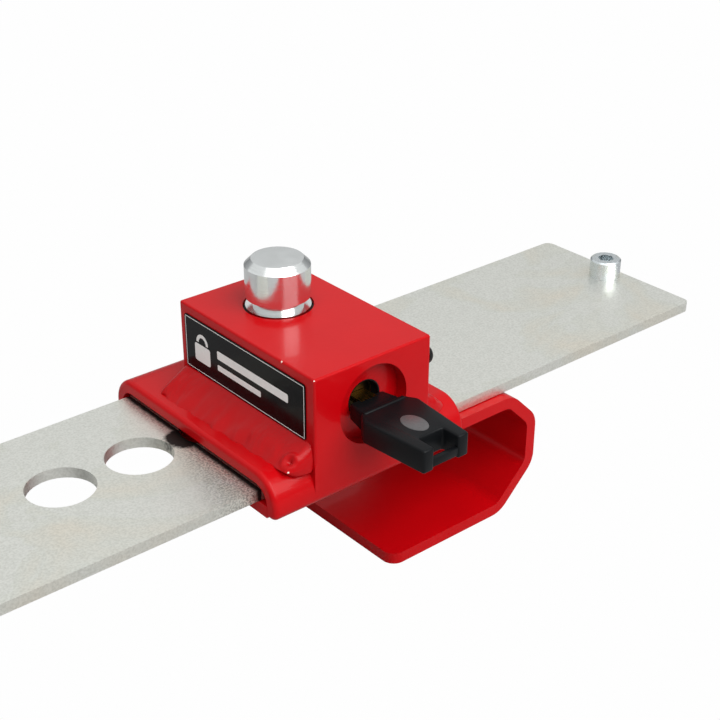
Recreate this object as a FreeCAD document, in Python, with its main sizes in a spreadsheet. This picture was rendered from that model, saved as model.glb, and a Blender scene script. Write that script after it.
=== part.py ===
import FreeCAD, Part

import math
import os
import re

# Adjustable door bar lock, in millimetres. A flat bar lies across two upright lock rods.
# A hook is fixed to its left end, and a lock carriage with a second hook slides along it.
# A plunger in the carriage drops through one of the bar's holes, and a key cylinder bolts it.
#
# Layout axes: X runs along the bar, Y across it with the key at -Y, Z up.
# Layout zero: the middle of the bar's width, on its top face, below the plunger's axis in X.
# Every finished piece is then moved so that the frame's origin is under the middle of the
# whole lock, on the surface that its two hooks stand on.

doc = FreeCAD.newDocument("DoorBarLock")
sheet = doc.addObject("Spreadsheet::Sheet", "Sizes")

SIZES = {
    # flat bar and its holes
    "bar_left": 380.0,
    "bar_right": 180.0,
    "bar_width": 80.0,
    "bar_thickness": 4.0,
    "bar_corner": 3.0,
    "hole_play": 0.3,
    "hole_pitch": 30.0,
    "hole_count": 4,
    # stop screw at the right end
    "stop_inset": 7.6,
    "stop_radius": 4.0,
    "stop_head_radius": 6.5,
    "stop_head_height": 8.0,
    "stop_socket": 3.0,
    "washer_radius": 7.5,
    "washer_thickness": 1.6,
    "nut_width": 13.0,
    "nut_height": 6.5,
    "screw_end": 2.0,
    # sleeve that slides on the bar
    "sleeve_left": 41.5,
    "sleeve_right": 42.5,
    "sleeve_wall": 4.5,
    "sleeve_bend": 11.0,
    "side_play": 4.0,
    "top_play": 2.0,
    "bottom_play": 0.4,
    "sleeve_foot": 3.0,
    "sleeve_ease": 1.8,
    # bent hook plates
    "plate_thickness": 4.5,
    "plate_fit": 0.2,
    "plate_bend": 8.0,
    "plate_corner": 5.0,
    "throat_height": 41.2,
    "hook_web": 85.6,
    "upper_slope": 11.8,
    "lower_slope": 15.4,
    "lower_flange": 72.0,
    "end_flange": 70.0,
    "end_hook_inset": 4.0,
    # block on the sleeve
    "block_half": 25.0,
    "block_length": 76.0,
    "block_height": 32.0,
    "block_edge": 0.8,
    "seam_width": 3.0,
    "bead_proud": 0.4,
    "bead_leg": 8.0,
    "bead_setback": 4.0,
    # plunger
    "plunger_offset": 3.0,
    "plunger_radius": 11.6,
    "plunger_chamfer": 2.4,
    "plunger_proud": 17.7,
    "plunger_foot": 1.0,
    "plunger_tip": 1.5,
    "groove_height": 3.6,
    "groove_depth": 2.6,
    "groove_lift": 0.2,
    "ring_wall": 0.9,
    "ring_height": 5.0,
    "ring_inset": 1.5,
    "slide_fit": 0.06,
    "pin_radius": 2.0,
    "pin_height": 7.5,
    "pin_bite": 2.6,
    "slot_play": 0.3,
    # key cylinder
    "key_drop": 17.5,
    "recess_radius": 14.4,
    "recess_depth": 5.0,
    "body_radius": 6.75,
    "body_inset": 4.0,
    "body_length": 21.9,
    "body_bore_fit": 0.1,
    "body_rear_radius": 6.0,
    "plug_radius": 5.1,
    "plug_flange_radius": 5.6,
    "plug_flange": 0.8,
    "plug_length": 12.6,
    "plug_tail_radius": 2.9,
    "plug_tail_length": 7.8,
    "turn_fit": 0.05,
    "clip_radius": 5.8,
    "clip_thickness": 0.8,
    "wafer_thickness": 0.8,
    "wafer_pitch": 2.2,
    "wafer_count": 4,
    "wafer_height": 5.0,
    "wafer_width": 8.4,
    "drive_radius": 0.8,
    "drive_half": 5.1,
    # lock bolt
    "bolt_radius": 5.3,
    "bolt_bore": 3.3,
    "bolt_skirt": 7.9,
    "bolt_solid": 1.0,
    "nose_width": 7.4,
    "nose_height": 3.0,
    "bolt_stroke": 2.7,
    "bolt_turn": 90.0,
    "bolt_clear": 0.4,
    "bolt_lift": 2.2,
    "chamber_radius": 5.6,
    # set screw that holds the cylinder, and the small screw on the right face
    "grub_radius": 2.5,
    "grub_length": 12.0,
    "grub_socket": 1.25,
    "side_screw_radius": 2.0,
    "side_screw_length": 9.0,
    "side_head_radius": 3.5,
    "side_head_height": 2.6,
    "side_screw_drop": 9.0,
    "side_screw_inset": 3.6,
    # key
    "blade_width": 6.8,
    "blade_thickness": 2.0,
    "blade_fit": 0.15,
    "neck_width": 14.0,
    "neck_thickness": 6.0,
    "neck_clear": 0.8,
    "blade_seat": 3.0,
    "head_gap": 4.5,
    "head_drop": 2.4,
    "head_width": 24.4,
    "head_length": 31.0,
    "head_thickness": 8.4,
    "head_corner": 4.0,
    "head_edge": 1.6,
    "ring_slot_width": 10.5,
    "ring_slot_length": 6.0,
    "ring_slot_inset": 1.6,
    "inlay_width": 7.6,
    "inlay_length": 11.0,
    "inlay_depth": 0.6,
    "inlay_centre": 15.5,
    # label
    "label_length": 68.4,
    "label_height": 20.5,
    "label_thickness": 0.4,
    "label_drop": 3.5,
    "label_inset": 4.3,
    "label_corner": 1.0,
}

for row, (alias, number) in enumerate(SIZES.items(), start=1):
    sheet.set(f"A{row}", str(number))
    sheet.setAlias(f"A{row}", alias)
doc.recompute()

# Places that follow from the sizes, written as expressions on the sheet's cells.
INNER_HALF = "(bar_width / 2 + side_play)"
SLEEVE_HALF = f"({INNER_HALF} + sleeve_wall)"
SLEEVE_TOP = "(top_play + sleeve_wall)"
PLATE_TOP = "(-bar_thickness - bottom_play)"
PLATE_BOTTOM = f"({PLATE_TOP} - plate_thickness)"
PLATE_HALF = f"({INNER_HALF} - plate_fit)"
FLOOR = f"({PLATE_BOTTOM} - throat_height - plate_thickness)"
BLOCK_TOP = f"({SLEEVE_TOP} + block_height)"
BLOCK_FRONT = f"(-{SLEEVE_HALF})"
HOLE_RADIUS = "(plunger_radius + hole_play)"
BORE_RADIUS = "(plunger_radius + ring_wall)"
BLOCK_BACK = f"({BLOCK_FRONT} + block_length)"
KEY_Z = f"({BLOCK_TOP} - key_drop)"
RECESS_FLOOR = f"({BLOCK_FRONT} + recess_depth)"
BODY_FACE = f"({RECESS_FLOOR} + body_inset)"
BODY_END = f"({BODY_FACE} + body_length)"
PLUG_END = f"({BODY_FACE} + turn_fit + plug_flange + plug_length)"
CLIP_END = f"({PLUG_END} + clip_thickness)"
SKIRT_START = f"({CLIP_END} + 0.3)"
NOSE_START = f"({SKIRT_START} + bolt_skirt + bolt_solid)"
NOSE_TIP = "(plunger_offset - plunger_radius - bolt_clear)"
CHAMBER_END = f"({NOSE_START} + bolt_stroke + bolt_clear)"
PLUNGER_TOP = f"({BLOCK_TOP} + plunger_proud)"
UPPER_GROOVE = f"({BLOCK_TOP} + groove_lift)"
NOSE_Z = f"({KEY_Z} + bolt_lift)"
TRAVEL = f"({UPPER_GROOVE} + groove_height / 2 - {NOSE_Z})"
GUIDE_Z = f"({SLEEVE_TOP} + pin_height)"
DRIVE_Y = f"({PLUG_END} + plug_tail_length - 1.4)"
KEY_TIP = f"({PLUG_END} - 1.4)"
HEAD_START = f"({BLOCK_FRONT} - head_gap)"
HEAD_Z = f"({KEY_Z} - head_drop)"
NECK_Z = f"({KEY_Z} - head_drop / 2)"
HEAD_TIP = f"({HEAD_START} - head_length)"
NECK_END = f"({RECESS_FLOOR} - neck_clear)"
STOP_X = "(bar_right - stop_inset)"
ORIGIN_X = "((bar_right - bar_left) / 2)"
ORIGIN_Y = f"(({HEAD_TIP} + {SLEEVE_HALF}) / 2)"

WORD = re.compile(r"[a-z]\w*")


def bound(text):
    """The same expression, with each size named as a cell of the sheet."""
    return WORD.sub(lambda found: "Sizes." + found.group(), text)


def size(text):
    """The number that an expression has now, for outlines that this script draws."""
    total = sheet.evalExpression(bound(text))
    return float(total)


def bind(item, prop, text):
    item.setExpression(prop, bound(text))


def at(item, x, y, z):
    for axis, text in (("x", x), ("y", y), ("z", z)):
        bind(item, "Placement.Base." + axis, text)
    return item


TURNS = {
    "X": FreeCAD.Rotation(FreeCAD.Vector(0, 1, 0), 90),
    "Y": FreeCAD.Rotation(FreeCAD.Vector(1, 0, 0), -90),
    "Z": FreeCAD.Rotation(),
}


def box(name, length, width, height, x, y, z):
    item = doc.addObject("Part::Box", name)
    bind(item, "Length", length)
    bind(item, "Width", width)
    bind(item, "Height", height)
    return at(item, x, y, z)


def cylinder(name, radius, height, x, y, z, axis="Z"):
    item = doc.addObject("Part::Cylinder", name)
    bind(item, "Radius", radius)
    bind(item, "Height", height)
    item.Placement.Rotation = TURNS[axis]
    return at(item, x, y, z)


def hexagon(name, across_flats, height, x, y, z, axis="Z"):
    item = doc.addObject("Part::Prism", name)
    item.Polygon = 6
    bind(item, "Circumradius", f"({across_flats}) / {math.sqrt(3):.6f}")
    bind(item, "Height", height)
    item.Placement.Rotation = TURNS[axis]
    return at(item, x, y, z)


def fuse(name, items):
    if len(items) == 1:
        return items[0]
    item = doc.addObject("Part::MultiFuse", name)
    item.Shapes = items
    item.Refine = True
    return item


def cut(name, base, tools):
    item = doc.addObject("Part::Cut", name)
    item.Base = base
    item.Tool = fuse(name + "_tools", tools)
    return item


def common(name, items):
    item = doc.addObject("Part::MultiCommon", name)
    item.Shapes = items
    return item


def dressed(kind, name, base, amount, wanted):
    """A fillet or chamfer on each edge of base whose middle passes the test."""
    doc.recompute()
    item = doc.addObject("Part::" + kind, name)
    item.Base = base
    picked = []
    for number, edge in enumerate(base.Shape.Edges, start=1):
        middle = edge.valueAt((edge.FirstParameter + edge.LastParameter) / 2)
        if wanted(edge, middle):
            picked.append((number, size(amount), size(amount)))
    item.Edges = picked
    return item


def near(number, text):
    return abs(number - size(text)) < 0.01


def outline(points, radii, to_space):
    """A closed face through the points, with a tangent arc at each that has a radius."""
    corners = []
    for index, (point, radius) in enumerate(zip(points, radii)):
        here = FreeCAD.Vector(*point, 0)
        before = FreeCAD.Vector(*points[index - 1], 0) - here
        after = FreeCAD.Vector(*points[(index + 1) % len(points)], 0) - here
        before.normalize()
        after.normalize()
        if radius <= 0:
            corners.append((here, None, here))
            continue
        half = before.getAngle(after) / 2
        reach = radius / math.tan(half)
        bisector = before + after
        bisector.normalize()
        middle = here + bisector * (radius / math.sin(half) - radius)
        corners.append((here + before * reach, middle, here + after * reach))
    edges = []
    for index, (start, middle, end) in enumerate(corners):
        if middle is not None:
            edges.append(Part.Arc(to_space(start), to_space(middle), to_space(end)).toShape())
        following = corners[(index + 1) % len(corners)][0]
        edges.append(Part.LineSegment(to_space(end), to_space(following)).toShape())
    return Part.Face(Part.Wire(edges))


def in_xz(point):
    return FreeCAD.Vector(point.x, 0, point.y)


def in_yz(point):
    return FreeCAD.Vector(0, point.x, point.y)


def bent_strip(path, thickness, bend):
    """Points and radii round a strip that is bent along a path through its middle."""
    count = len(path)
    headings = []
    for start, end in zip(path, path[1:]):
        length = math.dist(start, end)
        headings.append(((end[0] - start[0]) / length, (end[1] - start[1]) / length))
    sides = {}
    for side in (1, -1):
        points, radii = [], []
        for index, (x, y) in enumerate(path):
            ahead = headings[min(index, count - 2)]
            behind = headings[max(index - 1, 0)]
            spread = 1 + ahead[0] * behind[0] + ahead[1] * behind[1]
            offset = side * thickness / 2 / spread
            normal_x = -(ahead[1] + behind[1])
            normal_y = ahead[0] + behind[0]
            points.append((x + normal_x * offset, y + normal_y * offset))
            turn = behind[0] * ahead[1] - behind[1] * ahead[0]
            inner = math.copysign(thickness / 2, turn * side)
            radii.append(bend - inner if abs(turn) > 1e-6 else 0)
        sides[side] = (points, radii)
    points = sides[1][0] + sides[-1][0][::-1]
    radii = sides[1][1] + sides[-1][1][::-1]
    return points, radii


def extruded(name, face, direction, half_width):
    """A face pulled both ways, by the same bound distance."""
    profile = doc.addObject("Part::Feature", name + "_profile")
    profile.Shape = face
    item = doc.addObject("Part::Extrusion", name)
    item.Base = profile
    item.DirMode = "Custom"
    item.Dir = direction
    item.Solid = True
    bind(item, "LengthFwd", half_width)
    bind(item, "LengthRev", half_width)
    return item


FINISHED = []


def finish(label, item):
    """Gives a finished piece its name and moves it into the lock's own frame."""
    item.Label = label
    at(item, f"-{ORIGIN_X}", f"-{ORIGIN_Y}", f"-{FLOOR}")
    FINISHED.append(item)


# --- flat bar and stop screw --------------------------------------------------------------

def slide_bar():
    flat = box("bar_flat", "bar_left + bar_right", "bar_width", "bar_thickness",
               "-bar_left", "-bar_width / 2", "-bar_thickness")
    rounded = dressed("Fillet", "bar_rounded", flat, "bar_corner",
                      lambda edge, middle: near(middle.x, "bar_right")
                      and near(middle.z, "-bar_thickness / 2"))
    drills = []
    for index in range(int(size("hole_count"))):
        drills.append(cylinder(f"bar_hole_{index}", HOLE_RADIUS, "bar_thickness + 2",
                               f"-{index} * hole_pitch", "plunger_offset", "-bar_thickness - 1"))
    drills.append(cylinder("stop_hole", "stop_radius + slide_fit", "bar_thickness + 2",
                           STOP_X, "0", "-bar_thickness - 1"))
    finish("slide_bar", cut("bar_drilled", rounded, drills))


def stop_screw():
    head = cylinder("stop_head", "stop_head_radius", "stop_head_height", STOP_X, "0", "0")
    shank = cylinder("stop_shank", "stop_radius",
                     "bar_thickness + washer_thickness + nut_height + screw_end",
                     STOP_X, "0",
                     "-bar_thickness - washer_thickness - nut_height - screw_end")
    socket = hexagon("stop_socket_tool", "stop_socket * 2", "stop_head_height / 2",
                     STOP_X, "0", "stop_head_height / 2")
    plain = cut("stop_screw_plain", fuse("stop_screw_turned", [head, shank]), [socket])
    finish("stop_screw", dressed("Chamfer", "stop_screw_edge", plain, "0.6",
                                 lambda edge, middle: near(middle.z, "stop_head_height")
                                 and edge.Length > size("stop_head_radius") * 5))
    ring = cylinder("washer_disc", "washer_radius", "washer_thickness",
                    STOP_X, "0", "-bar_thickness - washer_thickness")
    hole = cylinder("washer_hole", "stop_radius + slide_fit", "washer_thickness + 2",
                    STOP_X, "0", "-bar_thickness - washer_thickness - 1")
    finish("stop_washer", cut("washer_ring", ring, [hole]))
    nut = hexagon("nut_hexagon", "nut_width", "nut_height",
                  STOP_X, "0", "-bar_thickness - washer_thickness - nut_height")
    thread = cylinder("nut_thread", "stop_radius + 0.02", "nut_height + 2",
                      STOP_X, "0", "-bar_thickness - washer_thickness - nut_height - 1")
    finish("stop_nut", cut("nut_drilled", nut, [thread]))


# --- hooks --------------------------------------------------------------------------------

def hook_path(start, web, top, lower_end, towards):
    """The middle line of a C-shaped plate whose mouth opens away from the web."""
    half = size("plate_thickness") / 2
    upper = size(top) - half
    lower = size(FLOOR) + half
    middle = web - towards * half
    return [
        (start, upper),
        (middle - towards * size("upper_slope"), upper),
        (middle, upper - size("upper_slope")),
        (middle, lower + size("lower_slope")),
        (middle - towards * size("lower_slope"), lower),
        (lower_end, lower),
    ]


def hook_plate(name, path, half_width):
    points, radii = bent_strip(path, size("plate_thickness"), size("plate_bend"))
    plate = extruded(name, outline(points, radii, in_xz), FreeCAD.Vector(0, 1, 0), half_width)
    lip_x = path[-1][0]
    lip_z = path[-1][1]
    return dressed("Fillet", name + "_rounded", plate, "plate_corner",
                   lambda edge, middle: abs(middle.x - lip_x) < 0.01
                   and abs(middle.z - lip_z) < 0.01 and abs(middle.y) > 1)


def seam_prisms(name, y, z, left, right, side):
    """Square rods turned by 45 degrees, which make a V groove along two mirrored seams."""
    prisms = []
    for index, sign in enumerate(("-", "")):
        rod = box(f"{name}_{index}", f"{left} + {right}", side, side,
                  f"-{left}", f"{sign}{y}", f"{z} - {side} * {math.sqrt(0.5):.6f}")
        rod.Placement.Rotation = FreeCAD.Rotation(FreeCAD.Vector(1, 0, 0), 45)
        prisms.append(rod)
    return prisms


def sleeve_and_hook():
    half, inner = size(SLEEVE_HALF), size(INNER_HALF)
    top, wall, low = size(SLEEVE_TOP), size("sleeve_wall"), size(PLATE_BOTTOM)
    bend, foot = size("sleeve_bend"), size("sleeve_foot")
    points = [(-half, low), (-half, top), (half, top), (half, low),
              (inner, low), (inner, top - wall), (-inner, top - wall), (-inner, low)]
    radii = [foot, bend, bend, foot, 0, bend - wall, bend - wall, 0]
    middle = (size("sleeve_right") - size("sleeve_left")) / 2
    face = outline(points, radii, in_yz)
    face.translate(FreeCAD.Vector(middle, 0, 0))
    channel = extruded("channel", face, FreeCAD.Vector(1, 0, 0),
                       "(sleeve_left + sleeve_right) / 2")
    rounded = dressed("Fillet", "channel_rounded", channel, "sleeve_ease",
                      lambda edge, place: near(place.z, SLEEVE_TOP)
                      and (near(place.x, "-sleeve_left") or near(place.x, "sleeve_right")))
    seams = seam_prisms("sleeve_seam", INNER_HALF, PLATE_BOTTOM, "(sleeve_left - bead_setback)",
                        "(sleeve_right - bead_setback)", "seam_width")
    bore = cylinder("sleeve_bore", BORE_RADIUS, "sleeve_wall + 2",
                    "0", "plunger_offset", "top_play - 1")
    finish("sleeve_channel", cut("channel_drilled", rounded, seams + [bore]))

    path = hook_path(-size("sleeve_left"), size("hook_web"), PLATE_TOP,
                     size("hook_web") - size("lower_flange"), 1)
    plate = hook_plate("hook_bent", path, PLATE_HALF)
    relief = cylinder("hook_bore", BORE_RADIUS, "plate_thickness + 2",
                      "0", "plunger_offset", f"{PLATE_BOTTOM} - 1")
    finish("sliding_hook", cut("hook_drilled", plate, seams + [relief]))

    slab = box("seam_slab", "sleeve_left + sleeve_right", f"2 * {SLEEVE_HALF}",
               "seam_width + bead_proud", "-sleeve_left", f"-{SLEEVE_HALF}",
               f"{PLATE_BOTTOM} - bead_proud")
    beads = fuse("seam_beads", seams)
    finish("sleeve_weld_beads", common("seam_beads_ground", [beads, slab]))


def end_hook():
    left = -size("bar_left")
    path = hook_path(left + size("end_flange"), left, "-bar_thickness",
                     left + size("lower_flange"), -1)
    path_half = "(bar_width / 2 - end_hook_inset)"
    plate = hook_plate("end_hook_bent", path, path_half)
    finish("end_hook", common("end_hook_trimmed", [plate, box(
        "end_hook_space", "bar_left", "bar_width", f"-bar_thickness - {FLOOR}",
        "-bar_left", "-bar_width / 2", FLOOR)]))
    beads = []
    for index, sign in enumerate((-1, 1)):
        rod = cylinder(f"end_bead_{index}", "end_hook_inset * 0.9",
                       "end_flange - upper_slope - plate_bend - 8",
                       "-bar_left + upper_slope + plate_bend + 4",
                       f"{sign} * {path_half}", "-bar_thickness", "X")
        space = box(f"end_bead_space_{index}", "end_flange", "end_hook_inset", "end_hook_inset",
                    "-bar_left", f"{sign} * {path_half} - {(1 - sign) // 2} * end_hook_inset",
                    "-bar_thickness - end_hook_inset")
        beads.append(common(f"end_bead_quarter_{index}", [rod, space]))
    finish("end_hook_weld_beads", fuse("end_beads", beads))


# --- block --------------------------------------------------------------------------------

def lock_block():
    blank = box("block_blank", "2 * block_half", "block_length", "block_height",
                "-block_half", BLOCK_FRONT, SLEEVE_TOP)
    eased = dressed("Fillet", "block_eased", blank, "block_edge",
                    lambda edge, middle: middle.z > size(SLEEVE_TOP) + 1)
    tools = [
        cylinder("plunger_bore", BORE_RADIUS, "block_height + 2",
                 "0", "plunger_offset", f"{SLEEVE_TOP} - 1"),
        cylinder("key_recess", "recess_radius", "recess_depth + 5",
                 "0", f"{BLOCK_FRONT} - 5", KEY_Z, "Y"),
        cylinder("cylinder_bore", "body_radius + body_bore_fit",
                 "body_inset + body_length + 1.2", "0", f"{RECESS_FLOOR} - 1", KEY_Z, "Y"),
        cylinder("bolt_chamber", "chamber_radius", f"{CHAMBER_END} - {BODY_END} + 1",
                 "0", f"{BODY_END} - 1", KEY_Z, "Y"),
        box("nose_slot", "nose_width + 2 * slot_play", f"plunger_offset - {CHAMBER_END} + 1",
            "nose_height + 2 * slot_play", "-nose_width / 2 - slot_play",
            f"{CHAMBER_END} - 1", f"{NOSE_Z} - nose_height / 2 - slot_play"),
        cylinder("guide_pin_hole", "pin_radius", f"{BLOCK_BACK} - plunger_offset",
                 "0", "plunger_offset", GUIDE_Z, "Y"),
        cylinder("grub_hole", "grub_radius", "block_half - body_radius + 2",
                 "body_radius - 1", f"{BODY_FACE} + body_length / 2", KEY_Z, "X"),
        cylinder("side_screw_hole", "side_screw_radius", "side_screw_length + 1",
                 "block_half - side_screw_length", f"{BLOCK_FRONT} + side_screw_inset",
                 f"{BLOCK_TOP} - side_screw_drop", "X"),
    ]
    finish("lock_block", cut("block_drilled", eased, tools))


def block_weld_beads():
    length = "(block_length - 2 * bead_setback)"
    beads = []
    for index, sign in enumerate((-1, 1)):
        rod = cylinder(f"bead_rod_{index}", "bead_leg", length, f"{sign} * block_half",
                       f"{BLOCK_FRONT} + bead_setback", SLEEVE_TOP, "Y")
        space = box(f"bead_space_{index}", "bead_leg", length, "bead_leg",
                    f"{sign} * block_half - {(1 - sign) // 2} * bead_leg",
                    f"{BLOCK_FRONT} + bead_setback", SLEEVE_TOP)
        beads.append(common(f"bead_quarter_{index}", [rod, space]))
    finish("block_weld_beads", fuse("block_beads", beads))


def front_seam_weld():
    corner = box("front_bead_space", "2 * block_half", "sleeve_bend", "sleeve_bend",
                 "-block_half", BLOCK_FRONT, f"{SLEEVE_TOP} - sleeve_bend")
    bend = cylinder("front_bead_bend", "sleeve_bend", "2 * block_half + 2", "-block_half - 1",
                    f"{BLOCK_FRONT} + sleeve_bend", f"{SLEEVE_TOP} - sleeve_bend", "X")
    finish("front_seam_weld", cut("front_seam", corner, [bend]))


def plunger_ring():
    low = f"({BLOCK_TOP} - ring_inset - ring_height)"
    ring = cylinder("ring_outer", BORE_RADIUS, "ring_height",
                    "0", "plunger_offset", low)
    hole = cylinder("ring_hole", "plunger_radius + slide_fit", "ring_height + 2",
                    "0", "plunger_offset", f"{low} - 1")
    finish("plunger_ring", cut("ring_cut", ring, [hole]))


def plunger_guide_pin():
    start = "(plunger_offset + plunger_radius - pin_bite)"
    pin = cylinder("guide_pin_rod", "pin_radius", f"{BLOCK_BACK} - {start} - 0.5",
                   "0", start, GUIDE_Z, "Y")
    finish("plunger_guide_pin", dressed("Chamfer", "guide_pin_chamfered", pin, "0.4",
                                        lambda edge, middle: near(middle.y, start)))


def name_label():
    plate = box("label_plate", "label_thickness", "label_length", "label_height",
                "-block_half - label_thickness", f"{BLOCK_FRONT} + label_inset",
                f"{BLOCK_TOP} - label_drop - label_height")
    middle_x = "-block_half - label_thickness / 2"
    finish("name_label", dressed("Fillet", "label_rounded", plate, "label_corner",
                                 lambda edge, middle: near(middle.x, middle_x)))


# --- plunger ------------------------------------------------------------------------------

def plunger():
    foot = "plunger_foot"
    rod = cylinder("plunger_rod", "plunger_radius", f"{PLUNGER_TOP} - {foot}",
                   "0", "plunger_offset", foot)
    top = dressed("Chamfer", "plunger_top", rod, "plunger_chamfer",
                  lambda edge, middle: near(middle.z, PLUNGER_TOP) and edge.Length > 1)
    tip = dressed("Chamfer", "plunger_tipped", top, "plunger_tip",
                  lambda edge, middle: near(middle.z, foot) and edge.Length > 1)
    tools = []
    for index, low in enumerate((UPPER_GROOVE, f"({NOSE_Z} - groove_height / 2)")):
        ring = cylinder(f"groove_ring_{index}", "plunger_radius + 1", "groove_height",
                        "0", "plunger_offset", low)
        core = cylinder(f"groove_core_{index}", "plunger_radius - groove_depth",
                        "groove_height + 2", "0", "plunger_offset", f"{low} - 1")
        tools.append(cut(f"groove_{index}", ring, [core]))
    tools.append(box("guide_slot", "2 * (pin_radius + slot_play)", "pin_bite + 2",
                     f"{TRAVEL} + 2 * (pin_radius + slot_play)",
                     "-pin_radius - slot_play",
                     "plunger_offset + plunger_radius - pin_bite - slot_play",
                     f"{GUIDE_Z} - pin_radius - slot_play"))
    finish("plunger", cut("plunger_grooved", tip, tools))


# --- key cylinder, plug and bolt ----------------------------------------------------------

def cylinder_body():
    shell = cylinder("body_shell", "body_radius", "body_length", "0", BODY_FACE, KEY_Z, "Y")
    eased = dressed("Chamfer", "body_eased", shell, "0.5",
                    lambda edge, middle: near(middle.y, BODY_FACE) and edge.Length > 20)
    tools = [
        cylinder("body_bore", "plug_radius + turn_fit", "body_length + 2",
                 "0", f"{BODY_FACE} - 1", KEY_Z, "Y"),
        cylinder("body_mouth", "plug_flange_radius + turn_fit", "plug_flange + 2 * turn_fit + 1",
                 "0", f"{BODY_FACE} - 1", KEY_Z, "Y"),
        cylinder("body_rear", "body_rear_radius", f"{BODY_END} - {PLUG_END} + 1.2",
                 "0", f"{PLUG_END} - 0.2", KEY_Z, "Y"),
    ]
    finish("cylinder_body", cut("body_bored", eased, tools))


def cylinder_set_screw():
    start = "(body_radius + 0.02)"
    y = f"({BODY_FACE} + body_length / 2)"
    rod = cylinder("grub_rod", "grub_radius", "grub_length", start, y, KEY_Z, "X")
    socket = hexagon("grub_socket_tool", "grub_socket * 2", "grub_length / 3",
                     f"{start} + grub_length * 2 / 3", y, KEY_Z, "X")
    finish("cylinder_set_screw", cut("grub_socketed", rod, [socket]))


def side_screw():
    y = f"({BLOCK_FRONT} + side_screw_inset)"
    z = f"({BLOCK_TOP} - side_screw_drop)"
    head = cylinder("side_head", "side_head_radius", "side_head_height", "block_half", y, z, "X")
    domed = dressed("Fillet", "side_head_domed", head, "side_head_height * 0.8",
                    lambda edge, middle: near(middle.x, "block_half + side_head_height")
                    and edge.Length > 5)
    shank = cylinder("side_shank", "side_screw_radius", "side_screw_length - 0.4",
                     "block_half - side_screw_length + 0.4", y, z, "X")
    socket = hexagon("side_socket", "side_screw_radius", "side_head_height",
                     "block_half + side_head_height * 0.4", y, z, "X")
    finish("side_screw", cut("side_screw_socketed", fuse("side_screw_turned",
                                                         [domed, shank]), [socket]))


def wafer_places():
    return [f"({KEY_TIP} - 1.2 - {index} * wafer_pitch)"
            for index in range(int(size("wafer_count")))]


def plug_and_wafers():
    barrel = cylinder("plug_barrel", "plug_radius", "plug_length",
                      "0", f"{PLUG_END} - plug_length", KEY_Z, "Y")
    flange = cylinder("plug_flange_disc", "plug_flange_radius", "plug_flange",
                      "0", f"{PLUG_END} - plug_length - plug_flange", KEY_Z, "Y")
    tail = cylinder("plug_tail", "plug_tail_radius", "plug_tail_length",
                    "0", PLUG_END, KEY_Z, "Y")
    keyway = box("keyway", "blade_width + 2 * blade_fit", "plug_length + plug_flange",
                 "blade_thickness + 2 * blade_fit", "-blade_width / 2 - blade_fit",
                 f"{PLUG_END} - plug_length - plug_flange - 1",
                 f"{KEY_Z} - blade_thickness / 2 - blade_fit")
    tools = [keyway, cylinder("drive_pin_hole", "drive_radius", "2 * plug_radius",
                              "-plug_radius", DRIVE_Y, KEY_Z, "X")]
    wafers = []
    for index, y in enumerate(wafer_places()):
        tools.append(box(f"wafer_slot_{index}", "wafer_width + 0.2", "wafer_thickness + 0.1",
                         "wafer_height + 0.2", "-wafer_width / 2 - 0.1",
                         f"{y} - wafer_thickness / 2 - 0.05", f"{KEY_Z} - wafer_height / 2 - 0.1"))
        plate = box(f"wafer_{index}", "wafer_width", "wafer_thickness", "wafer_height",
                    "-wafer_width / 2", f"{y} - wafer_thickness / 2",
                    f"{KEY_Z} - wafer_height / 2")
        window = box(f"wafer_window_{index}", "blade_width + 2 * blade_fit",
                     "wafer_thickness + 2", "blade_thickness + 2 * blade_fit",
                     "-blade_width / 2 - blade_fit", f"{y} - wafer_thickness / 2 - 1",
                     f"{KEY_Z} - blade_thickness / 2 - blade_fit")
        wafers.append(cut(f"wafer_cut_{index}", plate, [window]))
    finish("key_plug", cut("plug_slotted", fuse("plug_turned", [barrel, flange, tail]), tools))
    finish("plug_wafers", fuse("wafer_set", wafers))


def plug_clip_and_drive_pin():
    ring = cylinder("clip_ring", "clip_radius", "clip_thickness", "0", PLUG_END, KEY_Z, "Y")
    hole = cylinder("clip_hole", "plug_tail_radius", "clip_thickness + 2",
                    "0", f"{PLUG_END} - 1", KEY_Z, "Y")
    finish("plug_clip", cut("clip_cut", ring, [hole]))
    pin = cylinder("drive_pin_rod", "drive_radius", "2 * drive_half",
                   "-drive_half", DRIVE_Y, KEY_Z, "X")
    finish("drive_pin", dressed("Chamfer", "drive_pin_chamfered", pin, "0.2",
                                lambda edge, middle: abs(middle.x) > size("drive_half") - 0.1
                                and edge.Length > 1))


def lock_bolt():
    barrel = cylinder("bolt_barrel", "bolt_radius", "bolt_skirt + bolt_solid",
                      "0", SKIRT_START, KEY_Z, "Y")
    nose = box("bolt_nose_bar", "nose_width", f"{NOSE_TIP} - {NOSE_START} + 1", "nose_height",
               "-nose_width / 2", f"{NOSE_START} - 1", f"{NOSE_Z} - nose_height / 2")
    tools = [cylinder("bolt_hollow", "bolt_bore", "bolt_skirt + 1",
                      "0", f"{SKIRT_START} - 1", KEY_Z, "Y")]
    steps = 12
    for index in range(steps + 1):
        share = index / steps
        pin = doc.addObject("Part::Cylinder", f"helix_tool_{index}")
        bind(pin, "Radius", "drive_radius + slot_play")
        bind(pin, "Height", "4 * bolt_radius")
        turn = math.radians(share * size("bolt_turn"))
        pin.Placement.Rotation = FreeCAD.Rotation(FreeCAD.Vector(0, 0, 1),
                                                  FreeCAD.Vector(math.cos(turn), 0,
                                                                 -math.sin(turn)))
        at(pin, f"-2 * bolt_radius * {math.cos(turn):.6f}",
           f"{DRIVE_Y} - {share:.6f} * bolt_stroke",
           f"{KEY_Z} + 2 * bolt_radius * {math.sin(turn):.6f}")
        tools.append(pin)
    finish("lock_bolt", cut("bolt_slotted", fuse("bolt_turned", [barrel, nose]), tools))


# --- key ----------------------------------------------------------------------------------

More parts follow.
